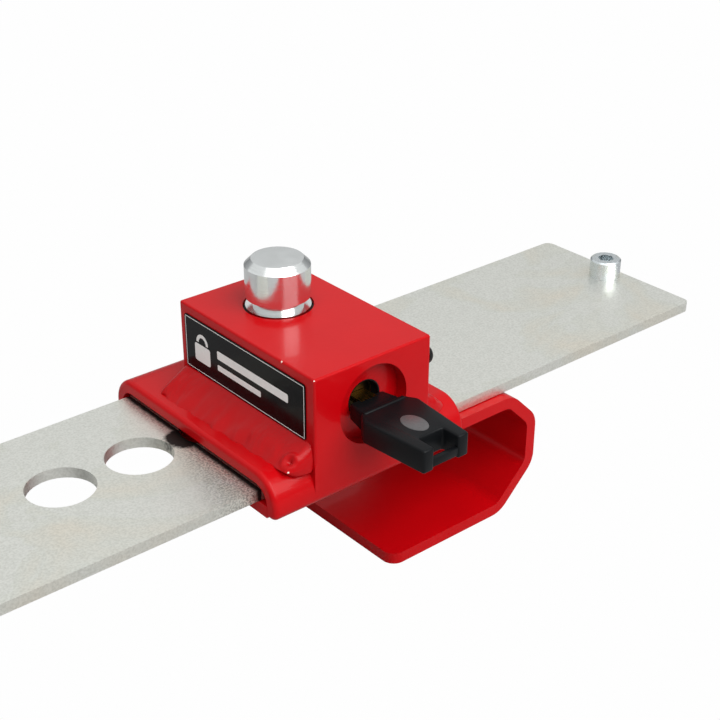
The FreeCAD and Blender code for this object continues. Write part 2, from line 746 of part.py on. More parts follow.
def key():
    blade_start = f"({NECK_END} - blade_seat)"
    blade = box("blade_bar", "blade_width", f"{KEY_TIP} - {blade_start}", "blade_thickness",
                "-blade_width / 2", blade_start, f"{KEY_Z} - blade_thickness / 2")
    finish("key_blade", dressed("Chamfer", "blade_pointed", blade, "1.2",
                                lambda edge, middle: near(middle.y, KEY_TIP)
                                and near(middle.z, KEY_Z)))
    slab = box("head_slab", "head_width", "head_length", "head_thickness",
               "-head_width / 2", HEAD_TIP, f"{HEAD_Z} - head_thickness / 2")
    rounded = dressed("Fillet", "head_rounded", slab, "head_corner",
                      lambda edge, middle: near(middle.z, HEAD_Z))
    eased = dressed("Fillet", "head_eased", rounded, "head_edge",
                    lambda edge, middle: abs(abs(middle.z - size(HEAD_Z))
                                             - size("head_thickness") / 2) < 0.01)
    neck = box("key_neck", "neck_width", f"{NECK_END} - {HEAD_START} + 1", "neck_thickness",
               "-neck_width / 2", f"{HEAD_START} - 1", f"{NECK_Z} - neck_thickness / 2")
    inlay_y = f"({HEAD_START} - inlay_centre)"
    tools = [
        box("ring_slot", "ring_slot_width", "ring_slot_length", "head_thickness + 2",
            "-ring_slot_width / 2", f"{HEAD_TIP} + ring_slot_inset",
            f"{HEAD_Z} - head_thickness / 2 - 1"),
        box("blade_slot", "blade_width", "blade_seat + 1", "blade_thickness",
            "-blade_width / 2", blade_start, f"{KEY_Z} - blade_thickness / 2"),
    ]
    inlays = []
    for index, side in enumerate((-1, 1)):
        low = f"({HEAD_Z} + head_thickness / 2 - inlay_depth)"
        if side < 0:
            low = f"({HEAD_Z} - head_thickness / 2)"
        disc = doc.addObject("Part::Ellipsoid", f"inlay_{index}")
        bind(disc, "Radius1", "inlay_depth")
        bind(disc, "Radius2", "inlay_width / 2")
        bind(disc, "Radius3", "inlay_length / 2")
        at(disc, "0", inlay_y, low if side < 0 else f"{low} + inlay_depth")
        slab_cut = box(f"inlay_slab_{index}", "inlay_width", "inlay_length", "inlay_depth",
                       "-inlay_width / 2", f"{inlay_y} - inlay_length / 2", low)
        inlays.append(common(f"inlay_plate_{index}", [disc, slab_cut]))
    finish("key_inlays", fuse("inlay_pair", inlays))
    finish("key_head", cut("head_cut", fuse("head_and_neck", [eased, neck]), tools + inlays))


slide_bar()
stop_screw()
sleeve_and_hook()
end_hook()
lock_block()
block_weld_beads()
front_seam_weld()
plunger_ring()
plunger_guide_pin()
name_label()
plunger()
cylinder_body()
cylinder_set_screw()
side_screw()
plug_and_wafers()
plug_clip_and_drive_pin()
lock_bolt()
key()
doc.recompute()

for item in doc.Objects:
    if "Invalid" in item.State or "Error" in item.State:
        raise RuntimeError(f"{item.Name} did not build: {item.State}")

os.makedirs("parts", exist_ok=True)
for item in FINISHED:
    shape = item.Shape
    if shape.isNull() or not shape.isValid() or not shape.Solids:
        raise RuntimeError(f"{item.Label} has no valid solid")
    shape.exportStep(f"parts/{item.Label}.step")
    low, high = shape.BoundBox, shape.BoundBox
    print(f"{item.Label:22s} solids {len(shape.Solids)} volume {shape.Volume:10.1f}"
          f"  x {low.XMin:8.2f} {high.XMax:8.2f}  y {low.YMin:7.2f} {high.YMax:7.2f}"
          f"  z {low.ZMin:7.2f} {high.ZMax:7.2f}")
print("origin in layout axes", round(size(ORIGIN_X), 3), round(size(ORIGIN_Y), 3),
      round(size(FLOOR), 3))
print("key axis height", round(size(f"{KEY_Z} - {FLOOR}"), 3),
      "plunger travel", round(size(TRAVEL), 3))
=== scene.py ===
# %% [markdown]
# # An adjustable door bar lock
# A flat zinc-plated bar lies across two upright lock rods. A hook is fixed to its far end, and a
# red carriage with a second hook slides along it. A plunger drops through one of the bar's
# holes, and a key cylinder bolts it there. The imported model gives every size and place, so this
# script adds what a machinist, a welder, a plater and a moulder leave behind on those parts.

import math

import bmesh
import bpy
from mathutils import Matrix, Vector, noise


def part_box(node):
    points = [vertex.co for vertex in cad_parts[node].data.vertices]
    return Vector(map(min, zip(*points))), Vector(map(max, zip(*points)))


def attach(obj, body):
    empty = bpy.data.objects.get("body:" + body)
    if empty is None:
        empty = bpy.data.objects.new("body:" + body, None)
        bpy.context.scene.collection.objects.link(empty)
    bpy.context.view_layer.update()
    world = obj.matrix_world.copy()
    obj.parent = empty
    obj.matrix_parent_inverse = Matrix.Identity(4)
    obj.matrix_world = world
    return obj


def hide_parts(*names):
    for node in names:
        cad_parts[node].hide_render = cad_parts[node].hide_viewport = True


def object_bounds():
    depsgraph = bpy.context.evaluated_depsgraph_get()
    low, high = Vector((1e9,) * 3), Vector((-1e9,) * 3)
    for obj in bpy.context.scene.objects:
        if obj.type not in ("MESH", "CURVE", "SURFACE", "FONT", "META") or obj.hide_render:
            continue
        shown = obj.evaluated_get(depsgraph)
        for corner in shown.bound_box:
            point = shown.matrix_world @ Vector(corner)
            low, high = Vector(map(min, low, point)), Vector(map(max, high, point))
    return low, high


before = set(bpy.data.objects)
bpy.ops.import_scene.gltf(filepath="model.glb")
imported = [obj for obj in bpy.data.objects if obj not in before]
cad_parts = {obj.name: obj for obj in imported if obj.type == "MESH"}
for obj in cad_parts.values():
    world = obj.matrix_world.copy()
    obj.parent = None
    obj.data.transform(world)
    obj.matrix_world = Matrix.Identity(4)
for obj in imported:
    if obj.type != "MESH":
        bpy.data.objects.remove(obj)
cad_low, cad_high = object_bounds()
print("CAD box in mm", [round(side * 1000, 1) for side in cad_high - cad_low])

# %% [markdown]
# ## One drawing zero for everything
# New pieces are drawn in millimetres from a zero that a fitter would mark out from: on the top
# face of the bar, in the middle of its width, below the middle of the block. The zero could be
# typed in, but reading it from the model's own parts keeps each new piece seated if they move.

# %% The drawing zero
MM = 0.001
bar_low, bar_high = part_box("slide_bar")
block_low, block_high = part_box("lock_block")
sleeve_low, sleeve_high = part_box("sleeve_channel")
ZERO = Vector(((block_low.x + block_high.x) / 2, (bar_low.y + bar_high.y) / 2, bar_high.z))


def in_frame(x, y, z):
    """A drawing point in millimetres as a place in the frame, in metres."""
    return ZERO + Vector((x, y, z)) * MM


def drawn(point):
    """A place in the frame as a drawing point in millimetres."""
    return (point - ZERO) / MM


BLOCK_LOW, BLOCK_HIGH = drawn(block_low), drawn(block_high)
LABEL_LOW, LABEL_HIGH = (drawn(corner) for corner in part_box("name_label"))
HEAD_LOW, HEAD_HIGH = (drawn(corner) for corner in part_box("key_head"))
BLADE_LOW, BLADE_HIGH = (drawn(corner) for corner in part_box("key_blade"))
BODY_LOW, BODY_HIGH = (drawn(corner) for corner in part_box("cylinder_body"))
KEY_X = (BODY_LOW.x + BODY_HIGH.x) / 2
KEY_Z = (BODY_LOW.z + BODY_HIGH.z) / 2
print("block", [round(v, 2) for v in BLOCK_LOW], [round(v, 2) for v in BLOCK_HIGH])
print("key axis height", round(KEY_Z, 2), "key head", [round(v, 2) for v in HEAD_LOW])
print("key blade length", round(BLADE_HIGH.y - BLADE_LOW.y, 2))

# %% [markdown]
# ## Camera
# A short telephoto lens looks down from beyond the near left corner, so that the block's front,
# left side and top all show. Heading, tilt and roll are written as separate angles, because three
# turns are easier to read and to adjust than a matrix.

# %% Camera
CAMERA_PLACE = (-263.5, -353.0, 253.1)
HEADING = math.radians(-40.21)
TILT = math.radians(61.82)
ROLL = math.radians(0.26)
camera_data = bpy.data.cameras.new("product_camera")
camera_data.lens = 70.3
camera_data.sensor_width = 36.0
camera_data.clip_start = 0.01
camera_data.clip_end = 50.0
camera = bpy.data.objects.new("product_camera", camera_data)
bpy.context.scene.collection.objects.link(camera)
camera.matrix_world = (Matrix.Translation(in_frame(*CAMERA_PLACE))
                       @ Matrix.Rotation(HEADING, 4, "Z")
                       @ Matrix.Rotation(TILT, 4, "X")
                       @ Matrix.Rotation(ROLL, 4, "Z"))
bpy.context.scene.camera = camera
print("camera lens in mm", camera_data.lens)

# %% [markdown]
# ## Helpers for finishes
# Colours are written as the hex codes that a paint card gives, and Blender wants linear light,
# so one function turns them. A second small function adds a node, sets it and links it.

# %% Colour and node helpers
def linear(code):
    """An sRGB hex code such as D8181D as linear red, green, blue and alpha."""
    channels = [int(code[place:place + 2], 16) / 255 for place in (0, 2, 4)]
    return [value / 12.92 if value <= 0.04045 else ((value + 0.055) / 1.055) ** 2.4
            for value in channels] + [1.0]


def add(tree, kind, inputs=None, stops=(), **settings):
    """Adds a node, sets its options, and fills its sockets with values or links."""
    node = tree.nodes.new("ShaderNode" + kind)
    for name, value in settings.items():
        setattr(node, name, value)
    for name, value in (inputs or {}).items():
        if isinstance(value, bpy.types.NodeSocket):
            tree.links.new(value, node.inputs[name])
        else:
            node.inputs[name].default_value = value
    for index, (place, colour) in enumerate(stops):
        if index >= 2:
            node.color_ramp.elements.new(place)
        node.color_ramp.elements[index].position = place
        node.color_ramp.elements[index].color = colour
    return node


def per_mm(size):
    """The texture scale that gives features of this size in millimetres."""
    return 1.0 / (size * MM)


def new_finish(name, **sockets):
    """A material with a Principled shader; returns it, its tree, shader and coordinates."""
    material = bpy.data.materials.new(name)
    material.use_nodes = True
    tree = material.node_tree
    tree.nodes.clear()
    values = {key.replace("_", " "): value for key, value in sockets.items()}
    shader = add(tree, "BsdfPrincipled", values)
    add(tree, "OutputMaterial", {"Surface": shader.outputs["BSDF"]})
    place = add(tree, "TexCoord").outputs["Object"]
    print("finish", name)
    return material, tree, shader, place


# %% [markdown]
# ## Red powder coat
# The carriage is welded steel, sprayed with polyester powder and baked. The powder melts into a
# thick glossy skin with a faint orange peel about two millimetres across. A plain glossy red
# would look like plastic, so the peel is a bump, the colour drifts a little where the film is
# thicker, and small chips at the block's corners and the sleeve's edge show the pale primer.

# %% Red powder coat
FILM_DRIFT = 22.0
PEEL_WIDTH = 2.0
CHIP_REACH = 0.7
CHIP_RAGGEDNESS = 0.9
PRIMER = "E9DFD6"
CHIP_PLACES = (
    (BLOCK_LOW.x + 0.2, BLOCK_LOW.y + 0.2, BLOCK_HIGH.z - 0.3),
    (BLOCK_HIGH.x - 0.2, BLOCK_LOW.y + 0.2, BLOCK_HIGH.z - 0.2),
    (BLOCK_LOW.x + 0.1, BLOCK_LOW.y + 17.0, BLOCK_HIGH.z - 0.2),
    (BLOCK_LOW.x - 9.0, BLOCK_LOW.y + 2.6, BLOCK_LOW.z + 0.1),
    (BLOCK_LOW.x - 13.0, BLOCK_LOW.y + 3.0, BLOCK_LOW.z),
)


def powder_coat(name, light, deep, peel):
    """Baked polyester powder on steel: light and deep are its colours, peel its bump in mm."""
    material, tree, shader, place = new_finish(
        name, Roughness=0.30, IOR=1.5, Specular_IOR_Level=0.11, Coat_Weight=0.13,
        Coat_Roughness=0.05)
    film = add(tree, "TexNoise", {"Vector": place, "Scale": per_mm(FILM_DRIFT), "Detail": 2.0})
    colour = add(tree, "MixRGB", {"Fac": film.outputs["Fac"],
                                  "Color1": linear(light), "Color2": linear(deep)})
    ragged = add(tree, "TexNoise", {"Vector": place, "Scale": per_mm(CHIP_RAGGEDNESS),
                                    "Detail": 3.0})
    shown = colour.outputs["Color"]
    for spot in CHIP_PLACES:
        away = add(tree, "VectorMath", {0: place, 1: in_frame(*spot)}, operation="DISTANCE")
        edge = add(tree, "Math", {0: ragged.outputs["Fac"], 1: CHIP_REACH * MM},
                   operation="MULTIPLY")
        chip = add(tree, "Math", {0: away.outputs["Value"], 1: edge.outputs["Value"]},
                   operation="LESS_THAN")
        shown = add(tree, "MixRGB", {"Fac": chip.outputs["Value"], "Color1": shown,
                                     "Color2": linear(PRIMER)}).outputs["Color"]
    tree.links.new(shown, shader.inputs["Base Color"])
    orange_peel = add(tree, "TexNoise", {"Vector": place, "Scale": per_mm(PEEL_WIDTH),
                                         "Detail": 1.0})
    bump = add(tree, "Bump", {"Height": orange_peel.outputs["Fac"], "Strength": 0.6,
                              "Distance": peel * MM})
    tree.links.new(bump.outputs["Normal"], shader.inputs["Normal"])
    return material


red_coat = powder_coat("polyester_powder_coat_baked_gloss", "BE040C", "AF030A", 0.03)
red_weld_coat = powder_coat("polyester_powder_coat_over_weld", "B8060D", "A6040B", 0.03)

# %% [markdown]
# ## Zinc plate
# The bar is hot-rolled steel, barrel plated with zinc and passivated. The rolled skin keeps it
# satin, and the passivation leaves patches that lean to straw and to blue-green. The screw and
# the plunger have the same plate on turned steel, so they stay brighter and smoother.

# %% Zinc plate
PATCH_WIDTH = 38.0


def zinc_plate(name, clean, straw, cool, rough, grain, depth):
    """Passivated zinc on steel: three tints, roughness, and the grain's size and depth in mm."""
    material, tree, shader, place = new_finish(name, Metallic=1.0)
    patches = add(tree, "TexNoise", {"Vector": place, "Scale": per_mm(PATCH_WIDTH), "Detail": 5.0,
                                     "Distortion": 0.8})
    tints = add(tree, "ValToRGB", {"Fac": patches.outputs["Fac"]},
                stops=((0.30, linear(straw)), (0.72, linear(cool)), (0.5, linear(clean))))
    speckle = add(tree, "TexNoise", {"Vector": place, "Scale": per_mm(grain), "Detail": 3.0})
    fine = add(tree, "ValToRGB", {"Fac": speckle.outputs["Fac"]},
               stops=((0.30, linear("EEEEEC")), (0.62, linear("FFFFFF"))))
    colour = add(tree, "MixRGB", {"Fac": 1.0, "Color1": tints.outputs["Color"],
                                  "Color2": fine.outputs["Color"]}, blend_type="MULTIPLY")
    tree.links.new(colour.outputs["Color"], shader.inputs["Base Color"])
    shine = add(tree, "MapRange", {"Value": speckle.outputs["Fac"], "From Min": 0.3,
                                   "From Max": 0.7, "To Min": rough - 0.06,
                                   "To Max": rough + 0.08})
    tree.links.new(shine.outputs["Result"], shader.inputs["Roughness"])
    bump = add(tree, "Bump", {"Height": speckle.outputs["Fac"], "Strength": 0.8,
                              "Distance": depth * MM})
    tree.links.new(bump.outputs["Normal"], shader.inputs["Normal"])
    return material, tree, shader, colour


zinc_bar, bar_tree, bar_shader, bar_colour = zinc_plate(
    "zinc_plate_on_hot_rolled_bar", "EFEFE9", "F0EBDF", "E8EFED", 0.42, 0.8, 0.025)
zinc_hook = zinc_plate("zinc_plate_on_bent_plate", "ECECE6", "EDE7DB", "E2EAE8", 0.44, 0.9,
                       0.025)[0]
zinc_screw = zinc_plate("zinc_plate_on_cold_headed_screw", "E0E6E9", "E2E0D6", "D2DEE6", 0.24,
                        0.5, 0.01)[0]

# %% [markdown]
# ## Dust and painted shadow beside the sleeve
# The sliding sleeve wipes oil and steel dust along the bar, and fine specks spread out from its
# left edge, most of all near the front. A thin black line at that edge is painted shadow of the
# sleeve's edge. Neither is a shape, so both belong in the bar's material, each as an amount from
# 0 to 1 that darkens the plate. The painted shadow and the dust stay on the bar when the carriage
# slides away.

# %% The painted shadow line and the dust
EDGE_RAGGEDNESS = 1.2
LINE_WAVE = 1.2
# These shape a painted shadow along the sleeve's left edge.
LINE_SOLID, LINE_GONE, LINE_DARKNESS = 1.0, 2.2, 0.94
DUST_GRAIN = 0.7
DUST_REACH_FRONT, DUST_REACH_BACK = 21.0, 5.0
DUST_FADE_WIDTH = 55.0
DUST_DARKNESS = 0.62


def painted_edge_shadow(tree, away, ragged):
    """The painted shadow line at the sleeve's edge, as an amount; away is the distance from the
    edge.
    """
    wavy = add(tree, "Math", {0: ragged, 1: LINE_WAVE * MM, 2: away}, operation="MULTIPLY_ADD")
    return add(tree, "MapRange", {"Value": wavy.outputs["Value"], "From Min": LINE_SOLID * MM,
                                  "From Max": LINE_GONE * MM, "To Min": LINE_DARKNESS,
                                  "To Max": 0.0}).outputs["Result"]


def dust(tree, place, away, across):
    """Fine specks that thin out with distance, and reach furthest near the bar's front."""
    reach = add(tree, "MapRange", {"Value": across, "From Min": bar_low.y,
                                   "From Max": bar_low.y + DUST_FADE_WIDTH * MM,
                                   "To Min": DUST_REACH_FRONT * MM,
                                   "To Max": DUST_REACH_BACK * MM})
    share = add(tree, "Math", {0: away, 1: reach.outputs["Result"]}, operation="DIVIDE")
    grains = add(tree, "TexNoise", {"Vector": place, "Scale": per_mm(DUST_GRAIN),
                                    "Detail": 2.0})
    dark = add(tree, "MapRange", {"Value": grains.outputs["Fac"], "From Min": 0.44,
                                  "From Max": 0.60, "To Min": 0.0, "To Max": 1.0})
    soft = add(tree, "MapRange", {"Value": share.outputs["Value"], "From Min": 0.0,
                                  "From Max": 1.0, "To Min": DUST_DARKNESS, "To Max": 0.0})
    return add(tree, "Math", {0: dark.outputs["Result"], 1: soft.outputs["Result"]},
               operation="MULTIPLY").outputs["Value"]


# %% [markdown]
# ## Painted shade at the hole beside the sleeve
# The sleeve covers nearly all of this hole, so a round dark patch is painted there as the shade
# inside the hole and under the sleeve's edge. It is a distance from one spot, made uneven by the
# same noise as the line, so that the painted line and patch look like one shade.

# %% The painted hole shade, and the dust and painted shade together
# A round patch of painted shade at the hole that the sleeve nearly covers.
HOLE_SHADE_SPOT = (-41.5, 3.2, 0.0)
HOLE_SHADE_WAVE = 3.0
HOLE_SHADE_SOLID, HOLE_SHADE_GONE, HOLE_SHADE_DARKNESS = 7.5, 9.5, 0.97
UNDER_SLEEVE = 0.8
# One near-black serves the dust and the painted shadow and shade.
GRIME_AND_SHADE_COLOUR = "12100F"


def painted_hole_shade(tree, place, ragged):
    """Painted shade at the hole that the sleeve nearly covers, as an amount."""
    spot = add(tree, "VectorMath", {0: place, 1: in_frame(*HOLE_SHADE_SPOT)}, operation="DISTANCE")
    uneven = add(tree, "Math", {0: ragged, 1: HOLE_SHADE_WAVE * MM, 2: spot.outputs["Value"]},
                 operation="MULTIPLY_ADD")
    return add(tree, "MapRange", {"Value": uneven.outputs["Value"],
                                  "From Min": HOLE_SHADE_SOLID * MM, "From Max": HOLE_SHADE_GONE * MM,
                                  "To Min": HOLE_SHADE_DARKNESS, "To Max": 0.0}).outputs["Result"]


def add_dust_and_painted_shade(tree, shader, colour):
    """Darkens a plate by the strongest of the dust and painted shades, up to just under the
    sleeve's edge.
    """
    place = add(tree, "TexCoord").outputs["Object"]
    split = add(tree, "SeparateXYZ", {"Vector": place})
    away = add(tree, "Math", {0: sleeve_low.x, 1: split.outputs["X"]},
               operation="SUBTRACT").outputs["Value"]
    ragged = add(tree, "TexNoise", {"Vector": place, "Scale": per_mm(EDGE_RAGGEDNESS),
                                    "Detail": 3.0}).outputs["Fac"]
    specks = dust(tree, place, away, split.outputs["Y"])
    # The edge line is painted shadow, the specks are dust, and the patch at the hole is painted
    # shade.
    shadow_line_and_specks = add(tree, "Math", {0: painted_edge_shadow(tree, away, ragged), 1: specks},
                  operation="MAXIMUM")
    dust_and_shade = add(tree, "Math", {0: shadow_line_and_specks.outputs["Value"], 1: painted_hole_shade(tree, place, ragged)},
                operation="MAXIMUM")
    outside = add(tree, "Math", {0: away, 1: -UNDER_SLEEVE * MM}, operation="GREATER_THAN")
    amount = add(tree, "Math", {0: dust_and_shade.outputs["Value"], 1: outside.outputs["Value"]},
                 operation="MULTIPLY")
    darkened_plate = add(tree, "MixRGB", {"Fac": amount.outputs["Value"],
                                 "Color1": colour.outputs["Color"],
                                 "Color2": linear(GRIME_AND_SHADE_COLOUR)})
    tree.links.new(darkened_plate.outputs["Color"], shader.inputs["Base Color"])
    print("grime on the bar, line ends", LINE_GONE, "mm from the sleeve")


add_dust_and_painted_shade(bar_tree, bar_shader, bar_colour)

# %% [markdown]
# ## Turned metals
# The plunger is cut from round bar on a lathe and then plated, and the tool leaves rings too
# fine to count. Noise stretched across the plunger gives such rings. They are drawn 0.4 mm
# apart, coarser than the real ones, so that they still show. The brass and the pins are made the
# same way with other stretches: none where the surface is cast or worn even.

# %% Turned metals
RING_DEPTH = 0.006


def turned_metal(name, light, dark, rough, pitch, stretch):
    """Plated turned steel or brass: pitch is the rings' spacing in mm, stretch their axes."""
    material, tree, shader, place = new_finish(name, Metallic=1.0)
    squeezed = add(tree, "Mapping", {"Vector": place, "Scale": stretch})
    rings = add(tree, "TexNoise", {"Vector": squeezed.outputs["Vector"],
                                   "Scale": per_mm(pitch), "Detail": 2.0})
    colour = add(tree, "MixRGB", {"Fac": rings.outputs["Fac"], "Color1": linear(light),
                                  "Color2": linear(dark)})
    tree.links.new(colour.outputs["Color"], shader.inputs["Base Color"])
    shine = add(tree, "MapRange", {"Value": rings.outputs["Fac"], "From Min": 0.3,
                                   "From Max": 0.7, "To Min": rough - 0.05,
                                   "To Max": rough + 0.07})
    tree.links.new(shine.outputs["Result"], shader.inputs["Roughness"])
    bump = add(tree, "Bump", {"Height": rings.outputs["Fac"], "Strength": 0.5,
                              "Distance": RING_DEPTH * MM})
    tree.links.new(bump.outputs["Normal"], shader.inputs["Normal"])
    return material


zinc_plunger = turned_metal("zinc_plate_on_turned_steel", "F2F4F4", "DFE1E0", 0.17, 0.4,
                            (0.05, 0.05, 1.0))
turned_brass = turned_metal("turned_brass_tarnished", "B39A66", "8A7347", 0.36, 0.5,
                            (1.0, 1.0, 1.0))
# The key plug and its wafers take a much darker brass, as painted shade for the cylinder's dark
# mouth.
shade_darkened_brass = turned_metal("turned_brass_painted_with_mouth_shade", "5A4A2C", "2E2517", 0.40, 0.5,
                          (1.0, 1.0, 1.0))
bright_brass = turned_metal("rolled_brass_key_blade", "D0A95A", "A88440", 0.26, 0.4,
                            (1.0, 0.08, 1.0))
pin_steel = turned_metal("ground_steel_pin", "B9BBBC", "8E9092", 0.28, 0.3, (0.1, 1.0, 1.0))

# %% [markdown]
# ## Black parts
# The key's head is nylon moulded in a spark-eroded tool, which gives it a satin grain. The label
# is printed vinyl, smooth and glossy. The ring is matt rubber, and the small screws are black
# oxide on steel. They are four different blacks, told apart by gloss and grain.

# %% Black parts
def moulded(name, light, dark, rough, grain, depth, **sockets):
    """A moulded or printed surface: two near colours, with a fine grain in mm."""
    material, tree, shader, place = new_finish(name, **sockets)
    texture = add(tree, "TexNoise", {"Vector": place, "Scale": per_mm(grain), "Detail": 3.0})
    colour = add(tree, "MixRGB", {"Fac": texture.outputs["Fac"], "Color1": linear(light),
                                  "Color2": linear(dark)})
    tree.links.new(colour.outputs["Color"], shader.inputs["Base Color"])
    shine = add(tree, "MapRange", {"Value": texture.outputs["Fac"], "From Min": 0.3,
                                   "From Max": 0.7, "To Min": rough - 0.05,
                                   "To Max": rough + 0.05})
    tree.links.new(shine.outputs["Result"], shader.inputs["Roughness"])
    bump = add(tree, "Bump", {"Height": texture.outputs["Fac"], "Strength": 0.5,
                              "Distance": depth * MM})
    tree.links.new(bump.outputs["Normal"], shader.inputs["Normal"])
    return material


nylon_head = moulded("nylon_injection_moulded_satin", "131517", "0B0C0E", 0.34, 0.35, 0.02,
                     IOR=1.53, Specular_IOR_Level=0.12)
label_vinyl = moulded("vinyl_label_printed_gloss", "0B0B0C", "070708", 0.16, 3.0, 0.002,
                      IOR=1.5, Specular_IOR_Level=0.10, Coat_Weight=0.03, Coat_Roughness=0.05)
label_ink = moulded("screen_print_ink_white", "ECECEA", "DEDEDC", 0.35, 1.5, 0.002, IOR=1.5)
ring_rubber = moulded("nitrile_rubber_moulded", "141415", "0C0C0D", 0.62, 0.5, 0.02, IOR=1.52)
# The same black also serves as painted shade on the bore's collar.
bore_shade_and_screw_black = moulded("black_oxide_on_steel_and_painted_bore_shade", "232323", "121212", 0.38, 0.4, 0.01,
                      Metallic=0.6)
inlay_resin = moulded("grey_inlay_brushed_resin", "5C5A5B", "434142", 0.34, 0.7, 0.02,
                      IOR=1.5)

# %% [markdown]
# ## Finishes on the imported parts
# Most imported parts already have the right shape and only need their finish. The names on the
# left are the finishes, and the lists are the parts that the workshop would treat together.

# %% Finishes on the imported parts
FINISHES = (
    (zinc_bar, ("slide_bar",)),
    (zinc_hook, ("end_hook", "end_hook_weld_beads")),
    (zinc_screw, ("stop_screw", "stop_washer", "stop_nut")),
    (red_coat, ("sleeve_channel", "sliding_hook", "lock_block", "front_seam_weld",
                "sleeve_weld_beads", "block_weld_beads")),
    (zinc_plunger, ("plunger",)),
    (turned_brass, ("cylinder_body",)),
    (shade_darkened_brass, ("key_plug", "plug_wafers")),
    (bright_brass, ("key_blade",)),
    (pin_steel, ("plunger_guide_pin", "drive_pin", "plug_clip", "lock_bolt")),
    (bore_shade_and_screw_black, ("cylinder_set_screw", "side_screw")),
    (ring_rubber, ("plunger_ring",)),
    (label_vinyl, ("name_label",)),
    (nylon_head, ("key_head",)),
    (inlay_resin, ("key_inlays",)),
)
for finish, names in FINISHES:
    for name in names:
        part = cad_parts[name]
        if not part.material_slots:
            part.data.materials.append(finish)
        for material_slot in part.material_slots:
            material_slot.material = finish
print("packed parts finished:", sum(len(names) for _, names in FINISHES))

# %% [markdown]
# ## Finishing a new piece
# Each new piece is drawn in millimetres with bmesh operators. One function brings it into the
# frame, makes its faces point outwards, reports any open edge, and lets it ride on its body.

# %% Finishing a new piece
def make_piece(bm, name, body, material, crease=35.0, stands_for=()):
    """Turns a drawn bmesh into a piece that rides on a body and hides the imported parts it
    stands for.
    """
    bmesh.ops.scale(bm, vec=(MM, MM, MM), verts=bm.verts)
    bmesh.ops.translate(bm, vec=ZERO, verts=bm.verts)
    bmesh.ops.recalc_face_normals(bm, faces=bm.faces)
    open_edges = sum(1 for edge in bm.edges if not edge.is_manifold)
    mesh = bpy.data.meshes.new(name)
    bm.to_mesh(mesh)
    bm.free()
    mesh.shade_smooth()
    mesh.set_sharp_from_angle(angle=math.radians(crease))
    mesh.materials.append(material)
    piece = bpy.data.objects.new(name, mesh)
    bpy.context.scene.collection.objects.link(piece)
    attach(piece, body)
    if stands_for:
        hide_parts(*stands_for)
    print(name, "faces", len(mesh.polygons), "open edges", open_edges)
    return piece


# %% [markdown]
# ## Weld beads beside the block
# The block is joined to the sleeve by one thick fillet weld on each side, laid by hand. Each
# stop of the torch freezes as a crescent, so the bead looks like overlapping scales. The bead
# could be a bump on a smooth ramp, but its edge against the light would stay straight, so the
# scales are moved into a fine grid. The grid is then extruded into the corner to close it.

# %% Weld bead shape
BEAD_FRONT = BLOCK_LOW.y + 1.0
BEAD_BACK = BLOCK_HIGH.y - 1.0
BEAD_FOOT = BLOCK_LOW.z
TOE_FRONT = 9.8
TOE_BACK = 12.6
BEAD_RISE = LABEL_LOW.z - BEAD_FOOT - 0.3
SCALE_PITCH = 3.4
SCALE_HEIGHT = 0.16
CRATER_RADIUS = 2.6
CRATER_SHARE = 0.3
CRATER_FROM_END = 3.4
END_LENGTH = 0.08
END_SIZE = 0.35
CRESCENT_BOW = 2.6
HAND_WANDER = 0.5
LUMP_HEIGHT = 0.30
SLOW_HEIGHT = 0.75
BEAD_BASE_HEIGHT = 0.25
BACK_LIP_HEIGHT, BACK_LIP_INSET, BACK_LIP_WIDTH = 1.5, 4.0, 2.2
TOE_WANDER = 1.3
ROOT_DEPTH = 2.2


def end_taper(along):
    """1 over most of the bead, and less where the torch starts and stops."""
    past = max(0.0, (abs(2 * along - 1) - (1 - END_LENGTH)) / END_LENGTH)
    return END_SIZE + (1 - END_SIZE) * math.sqrt(max(0.0, 1 - past * past))


def scale_height(y, across, seed):
    """The height in mm of the frozen crescents and of the hand's unsteadiness."""
    bow = CRESCENT_BOW * (2 * across - 1) ** 2
    wander = HAND_WANDER * noise.noise((y / 9, across * 2, seed + 5.0))
    step = ((y + bow) / SCALE_PITCH + wander) % 1.0
    faint = 0.5 + 0.9 * noise.noise((y / 13, across, seed + 14.0))
    crescent = SCALE_HEIGHT * max(0.0, faint) * math.sin(math.pi * step ** 0.6)
    slow = SLOW_HEIGHT * noise.noise((y / 11, across * 1.3, seed))
    lumps = LUMP_HEIGHT * noise.noise((y / 4.2, across * 2.6, seed + 9.0))
    return crescent + slow + lumps


def crater_height(y, across, centre):
    """The raised ring and pit that stay where the arc went out."""
    away = math.hypot(y - centre, (across - CRATER_SHARE) * 12.0)
    ring = 0.7 * math.exp(-((away - CRATER_RADIUS) / 0.9) ** 2)
    pit = 1.7 * math.exp(-(away / 0.75) ** 2)
    return ring - pit


# %% [markdown]
# ## Laying the two beads
# Each bead is a flat grid whose points are set one by one: along the joint, across the corner,
# and then out by the height that the crescents, the lumps and the crater give there.

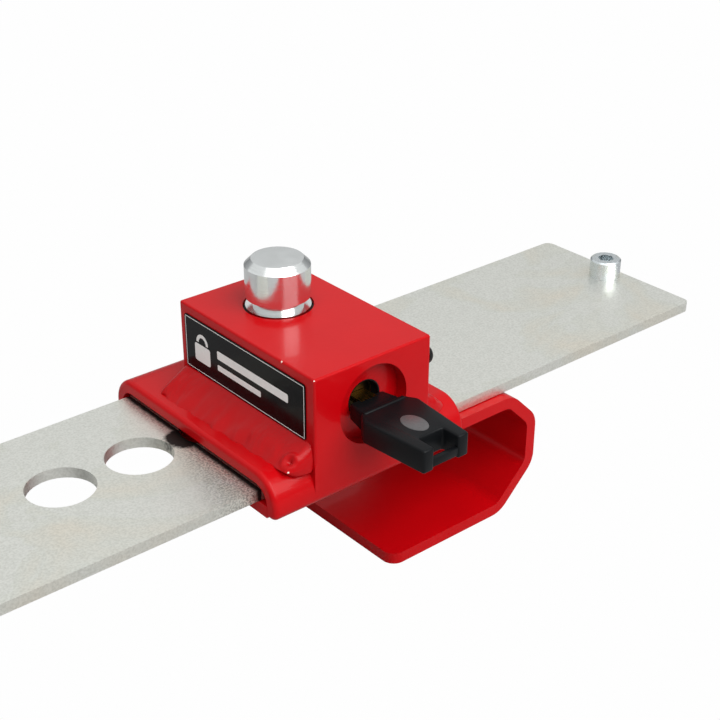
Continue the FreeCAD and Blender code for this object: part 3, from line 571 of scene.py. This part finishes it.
# %% Weld beads
def weld_bead(name, side, seed, stands_for=()):
    """One fillet weld: side is -1 on the block's left and 1 on its right."""
    bm = bmesh.new()
    bmesh.ops.create_grid(bm, x_segments=190, y_segments=30, size=1.0)
    wall = BLOCK_LOW.x if side < 0 else BLOCK_HIGH.x
    spots = {vert: ((vert.co.x + 1) / 2, (vert.co.y + 1) / 2) for vert in bm.verts}
    for vert, (along, across) in spots.items():
        y = BEAD_FRONT + along * (BEAD_BACK - BEAD_FRONT)
        size = end_taper(along)
        reach = TOE_FRONT + (TOE_BACK - TOE_FRONT) * along
        toe = reach * size + TOE_WANDER * noise.noise((y / 5, 3.0, seed))
        rise = BEAD_RISE * size
        fade = math.sin(math.pi * min(max(across, 0.0), 1.0)) ** 0.6
        height = scale_height(y, across, seed) + BEAD_BASE_HEIGHT
        height += crater_height(y, across, BEAD_FRONT + CRATER_FROM_END)
        lip = (y - BEAD_BACK + BACK_LIP_INSET) / BACK_LIP_WIDTH
        height += BACK_LIP_HEIGHT * math.exp(-lip ** 2)
        proud = height * fade * size
        vert.co = (wall + side * (toe * (1 - across) + proud * 0.55),
                   y, BEAD_FOOT + rise * across + proud * 0.70)
    faces = bm.faces[:]
    grown = bmesh.ops.extrude_face_region(bm, geom=faces)["geom"]
    for vert in (item for item in grown if isinstance(item, bmesh.types.BMVert)):
        vert.co.x -= side * ROOT_DEPTH
        vert.co.z -= ROOT_DEPTH
    make_piece(bm, name, "carriage", red_weld_coat, 60.0, stands_for)


weld_bead("left_weld_bead", -1, 1.0, ("block_weld_beads",))
weld_bead("right_weld_bead", 1, 21.0)

# %% [markdown]
# ## The key's head
# The head is one nylon moulding over the blade. It is widest just after a raised rim, tapers to
# the tip, and ends in two prongs with a low bar between them for the key ring. It starts as one
# flat outline that is extruded to its thickness, because that is how the mould parts. A bevel
# gives it the soft moulded edge that a thumb feels.

# %% Key head outline
HEAD_BASE = HEAD_LOW.y + 31.0
TIP = HEAD_LOW.y + 0.35
HEAD_TOP, HEAD_FLOOR = HEAD_HIGH.z, HEAD_LOW.z
PRONG_GAP = 5.2
OUTLINE = ((9.4, HEAD_BASE), (12.0, HEAD_BASE - 4.0), (9.6, TIP), (PRONG_GAP, TIP),
           (PRONG_GAP, TIP + 7.4))


def edges_along(bm, axis, flat=0.02):
    """The edges that run along one axis, such as a moulding's upright corners."""
    picked = []
    for edge in bm.edges:
        run = edge.verts[1].co - edge.verts[0].co
        if abs(run.normalized()[axis]) > 1 - flat:
            picked.append(edge)
    return picked


def rounded(bm, edges, offset, segments=3):
    """Rounds edges with a bevel of this size in mm."""
    bmesh.ops.bevel(bm, geom=edges, offset=offset, affect="EDGES", segments=segments,
                    profile=0.5, material=-1, clamp_overlap=True)


def slab(x0, x1, y0, y1, z0, z1):
    """A bmesh box between two corners, in drawing millimetres."""
    bm = bmesh.new()
    bmesh.ops.create_cube(bm, size=1.0)
    bmesh.ops.scale(bm, vec=(x1 - x0, y1 - y0, z1 - z0), verts=bm.verts)
    bmesh.ops.translate(bm, vec=((x0 + x1) / 2, (y0 + y1) / 2, (z0 + z1) / 2), verts=bm.verts)
    return bm


# %% [markdown]
# ## Moulding the head
# The outline is drawn once for the right half and mirrored for the left. The upright corners are
# eased first and the top and bottom rims after, because a mould has both and they meet smoothly.

# %% Key head
HEAD_CORNER = 0.8
HEAD_RIM = 0.85


def key_head():
    """The nylon grip from its base to the two prongs."""
    bm = bmesh.new()
    right = [(KEY_X + x, y) for x, y in OUTLINE]
    left = [(KEY_X - x, y) for x, y in reversed(OUTLINE)]
    outline = [bm.verts.new((x, y, HEAD_FLOOR)) for x, y in right + left]
    bottom = bm.faces.new(outline)
    grown = bmesh.ops.extrude_face_region(bm, geom=[bottom])["geom"]
    raised = [item for item in grown if isinstance(item, bmesh.types.BMVert)]
    bmesh.ops.translate(bm, vec=(0, 0, HEAD_TOP - HEAD_FLOOR), verts=raised)
    rounded(bm, edges_along(bm, 2), HEAD_CORNER)
    bmesh.ops.recalc_face_normals(bm, faces=bm.faces)
    rims = [edge for edge in bm.edges if edge.calc_face_angle(0) > math.radians(60)]
    rounded(bm, rims, HEAD_RIM)
    make_piece(bm, "key_head_moulding", "key", nylon_head, 40.0,
               ("key_head",))


key_head()

# %% [markdown]
# ## Key ring bar, neck and rim
# The low bar between the prongs carries the ring. The neck narrows towards the cylinder, and a
# raised rim across the base stops the thumb. Each is a simple block with moulded edges.

# %% Key ring bar, neck and rim
NECK_MID = KEY_Z - 1.2
NECK_HALF_WIDTH = 8.9
NECK_TAPER_WIDE, NECK_TAPER_HIGH = 0.8, 0.85
RIM_HALF_WIDTH = 9.0
RIM_DEPTH = 2.0
RIM_PROUD = 0.35
BAR_OVERLAP = 0.5
ring_bar = slab(KEY_X - PRONG_GAP - BAR_OVERLAP, KEY_X + PRONG_GAP + BAR_OVERLAP,
                TIP + 0.3, TIP + 2.2, HEAD_FLOOR + 0.9, HEAD_FLOOR + 4.0)
rounded(ring_bar, ring_bar.edges[:], 0.4, 2)
make_piece(ring_bar, "key_ring_bar", "key", nylon_head)

neck = slab(KEY_X - NECK_HALF_WIDTH, KEY_X + NECK_HALF_WIDTH, HEAD_BASE - 1.0,
            BLOCK_LOW.y + 4.2, HEAD_FLOOR + 0.6, HEAD_TOP - 0.5)
for vert in neck.verts:
    if vert.co.y > HEAD_BASE:
        vert.co.x = KEY_X + (vert.co.x - KEY_X) * NECK_TAPER_WIDE
        vert.co.z = NECK_MID + (vert.co.z - NECK_MID) * NECK_TAPER_HIGH
rounded(neck, neck.edges[:], 1.0)
make_piece(neck, "key_neck", "key", nylon_head)

rim = slab(KEY_X - RIM_HALF_WIDTH, KEY_X + RIM_HALF_WIDTH, HEAD_BASE - 1.6, HEAD_BASE + 0.3,
           HEAD_TOP - RIM_DEPTH, HEAD_TOP + RIM_PROUD)
rounded(rim, rim.edges[:], 0.6)
make_piece(rim, "key_rim", "key", nylon_head)

# %% [markdown]
# ## Oval inlays
# A grey oval is pressed into each thumb rest. It is a circle stretched along the key, extruded
# and eased at its edge.

# %% Oval inlays
INLAY_HALF_WIDTH, INLAY_HALF_LENGTH = 3.8, 5.6
INLAY_FROM_BASE = 15.5
INLAY_SUNK = 0.8
INLAY_EDGE = 0.3


def oval_inlay(name, way, stands_for=()):
    """One inlay: way is 1 for the head's top face and -1 for its underside."""
    bm = bmesh.new()
    bmesh.ops.create_circle(bm, cap_ends=True, segments=56, radius=1.0)
    bmesh.ops.scale(bm, vec=(INLAY_HALF_WIDTH, INLAY_HALF_LENGTH, 1.0), verts=bm.verts)
    grown = bmesh.ops.extrude_face_region(bm, geom=bm.faces[:])["geom"]
    raised = [item for item in grown if isinstance(item, bmesh.types.BMVert)]
    bmesh.ops.translate(bm, vec=(0, 0, 1.0), verts=raised)
    top_edges = [edge for edge in bm.edges if all(vert.co.z > 0.5 for vert in edge.verts)]
    rounded(bm, top_edges, INLAY_EDGE, 2)
    if way < 0:
        bmesh.ops.scale(bm, vec=(1, 1, -1), verts=bm.verts)
    level = HEAD_TOP - INLAY_SUNK if way > 0 else HEAD_FLOOR + INLAY_SUNK
    bmesh.ops.translate(bm, vec=(KEY_X, HEAD_BASE - INLAY_FROM_BASE, level), verts=bm.verts)
    make_piece(bm, name, "key", inlay_resin, 40.0, stands_for)


oval_inlay("key_inlay_top", 1, ("key_inlays",))
oval_inlay("key_inlay_bottom", -1)

# %% [markdown]
# ## Threaded collar in front of the cylinder
# Between the recess and the brass face the bore shows turned ribs, black as painted shade. They
# are a zigzag profile spun round the key's axis, which is how a lathe makes them.

# %% Threaded collar
BORE_RADIUS = 6.82
RIB_TOP_RADIUS, RIB_ROOT_RADIUS = 6.15, 6.45
RIB_COUNT = 5
collar_front = BLOCK_LOW.y + 5.05
collar_back = BODY_LOW.y - 0.05
bm = bmesh.new()
rib = (collar_back - collar_front) / (2 * RIB_COUNT)
profile = [(RIB_TOP_RADIUS if index % 2 else RIB_ROOT_RADIUS, collar_front + index * rib)
           for index in range(2 * RIB_COUNT + 1)]
profile += [(BORE_RADIUS, collar_back), (BORE_RADIUS, collar_front)]
ring_verts = [bm.verts.new((KEY_X + radius, y, KEY_Z)) for radius, y in profile]
ring_edges = [bm.edges.new((ring_verts[index - 1], ring_verts[index]))
              for index in range(len(ring_verts))]
bmesh.ops.spin(bm, geom=ring_verts + ring_edges, cent=(KEY_X, 0, KEY_Z), axis=(0, 1, 0),
               angle=2 * math.pi, steps=64, use_merge=True, use_duplicate=False)
bmesh.ops.remove_doubles(bm, verts=bm.verts, dist=0.001)
# The collar's black is painted shade on the bore's wall.
make_piece(bm, "cylinder_collar", "carriage", bore_shade_and_screw_black, 25.0)

# %% [markdown]
# ## Label print
# The label carries a generic padlock sign and plain bars instead of lettering, with a thin pale
# border. Ink has a thickness, so each mark is a thin solid on the label's face.

# %% Label print
INK = 0.05
INK_SEAT = 0.02
BORDER = 0.22
BORDER_INSET = 0.5
SHACKLE_INNER, SHACKLE_OUTER = 2.2, 3.5
LABEL_MID_Z = (LABEL_LOW.z + LABEL_HIGH.z) / 2


def ink_bar(name, y0, y1, z0, z1, corner):
    """A printed bar on the label's face, with rounded corners."""
    bm = slab(LABEL_LOW.x - INK, LABEL_LOW.x + INK_SEAT, y0, y1, z0, z1)
    rounded(bm, edges_along(bm, 0), corner)
    make_piece(bm, name, "carriage", label_ink)


SIGN_Y = LABEL_HIGH.y - 10.5
SIGN_HALF_WIDTH, SIGN_CORNER = 4.6, 0.9
SHACKLE_Z = LABEL_MID_Z + 1.9
BARS_END = SIGN_Y - 9.0
BAR_CORNER = 0.5
ink_bar("label_padlock_body", SIGN_Y - SIGN_HALF_WIDTH, SIGN_Y + SIGN_HALF_WIDTH,
        LABEL_MID_Z - 5.6, LABEL_MID_Z + 1.2, SIGN_CORNER)
ink_bar("label_bar_long", LABEL_LOW.y + 9.0, BARS_END, LABEL_MID_Z - 0.2,
        LABEL_MID_Z + 3.0, BAR_CORNER)
ink_bar("label_bar_short", LABEL_LOW.y + 24.0, BARS_END, LABEL_MID_Z - 4.6,
        LABEL_MID_Z - 2.4, BAR_CORNER)

shackle = bmesh.new()
corners = [shackle.verts.new((x, SIGN_Y + y, SHACKLE_Z)) for x, y in
           ((LABEL_LOW.x - INK, SHACKLE_INNER), (LABEL_LOW.x - INK, SHACKLE_OUTER),
            (LABEL_LOW.x + INK_SEAT, SHACKLE_OUTER), (LABEL_LOW.x + INK_SEAT, SHACKLE_INNER))]
start = shackle.faces.new(corners)
bmesh.ops.spin(shackle, geom=[start] + start.edges[:] + corners,
               cent=(LABEL_LOW.x, SIGN_Y, SHACKLE_Z), axis=(1, 0, 0),
               angle=math.pi, steps=20, use_merge=False, use_duplicate=False)
make_piece(shackle, "label_padlock_shackle", "carriage", label_ink)

edge_y = (LABEL_LOW.y + BORDER_INSET, LABEL_HIGH.y - BORDER_INSET)
edge_z = (LABEL_LOW.z + BORDER_INSET, LABEL_HIGH.z - BORDER_INSET)
ink_bar("label_border_low", edge_y[0], edge_y[1], edge_z[0], edge_z[0] + BORDER, 0.1)
ink_bar("label_border_high", edge_y[0], edge_y[1], edge_z[1] - BORDER, edge_z[1], 0.1)
ink_bar("label_border_front", edge_y[0], edge_y[0] + BORDER, edge_z[0], edge_z[1], 0.1)
ink_bar("label_border_back", edge_y[1] - BORDER, edge_y[1], edge_z[0], edge_z[1], 0.1)

# %% [markdown]
# ## Floor
# The lock stands on a sheet that should look pure white. A sheet that bright would throw light up
# into the hook and wash the red out, so the shader is mixed by ray: the camera sees plain white,
# with no shadow on it, and the lock sees a grey paper card.

# %% Floor
floor_material, floor_tree, floor_shader, floor_place = new_finish(
    "pale_paper_sweep_matt", Roughness=0.95, Specular_IOR_Level=0.05)
fibre = add(floor_tree, "TexNoise", {"Vector": floor_place, "Scale": per_mm(4.0)})
paper = add(floor_tree, "MixRGB", {"Fac": fibre.outputs["Fac"], "Color1": linear("B0B0B0"),
                                   "Color2": linear("A8A8A8")})
floor_tree.links.new(paper.outputs["Color"], floor_shader.inputs["Base Color"])
lit_sheet = add(floor_tree, "Emission", {"Color": linear("FEFEFE"), "Strength": 1.0})
seen = add(floor_tree, "LightPath").outputs["Is Camera Ray"]
sheet = add(floor_tree, "MixShader", {0: seen, 1: floor_shader.outputs["BSDF"],
                                      2: lit_sheet.outputs["Emission"]})
floor_output = next(node for node in floor_tree.nodes if node.type == "OUTPUT_MATERIAL")
floor_tree.links.new(sheet.outputs["Shader"], floor_output.inputs["Surface"])
FLOOR_RADIUS = 9.0
FLOOR_GAP = 0.2
bm = bmesh.new()
bmesh.ops.create_circle(bm, cap_ends=True, segments=96, radius=FLOOR_RADIUS)
bmesh.ops.translate(bm, vec=(0, 0, cad_low.z - FLOOR_GAP * MM), verts=bm.verts)
floor_mesh = bpy.data.meshes.new("floor")
bm.to_mesh(floor_mesh)
bm.free()
floor_mesh.materials.append(floor_material)
floor = bpy.data.objects.new("floor", floor_mesh)
bpy.context.scene.collection.objects.link(floor)

# %% [markdown]
# ## Lights and the room
# One large soft light in front shapes the faces, and a weak one above lifts the block's top. The
# room is dim near the ground and bright from about a quarter of the way up, like a room with a
# lit ceiling, which keeps the hook's inside dark. As with the floor, the camera sees the walls
# plain white.

# %% Lights
def soft_light(name, place, size, power):
    """A square area light at a place in metres from the block, aimed at the block."""
    data = bpy.data.lights.new(name, "AREA")
    data.shape = "SQUARE"
    data.size = size
    data.energy = power
    lamp = bpy.data.objects.new(name, data)
    bpy.context.scene.collection.objects.link(lamp)
    lamp.location = ZERO + Vector(place)
    lamp.rotation_euler = Vector(place).to_track_quat("Z", "Y").to_euler()


soft_light("front_light", (0.2, -1.45, 1.35), 1.8, 40.0)
soft_light("top_light", (-0.5, -0.4, 1.6), 1.6, 5.0)
world = bpy.data.worlds.new("pale_studio")
world.use_nodes = True
sky = world.node_tree
height = add(sky, "SeparateXYZ", {"Vector": add(sky, "TexCoord").outputs["Generated"]})
room = add(sky, "ValToRGB", {"Fac": height.outputs["Z"]},
           stops=((0.0, linear("8A8C8E")), (1.0, linear("F0F1F2")), (0.4, linear("F4F6F6"))))
sky.links.new(room.outputs["Color"], sky.nodes["Background"].inputs["Color"])
sky.nodes["Background"].inputs["Strength"].default_value = 0.88
white_wall = add(sky, "Background", {"Color": linear("FEFEFE"), "Strength": 1.0})
walls = add(sky, "MixShader", {0: add(sky, "LightPath").outputs["Is Camera Ray"],
                               1: sky.nodes["Background"].outputs["Background"],
                               2: white_wall.outputs["Background"]})
sky.links.new(walls.outputs["Shader"], sky.nodes["World Output"].inputs["Surface"])
bpy.context.scene.world = world
bpy.context.scene.view_settings.view_transform = "Standard"
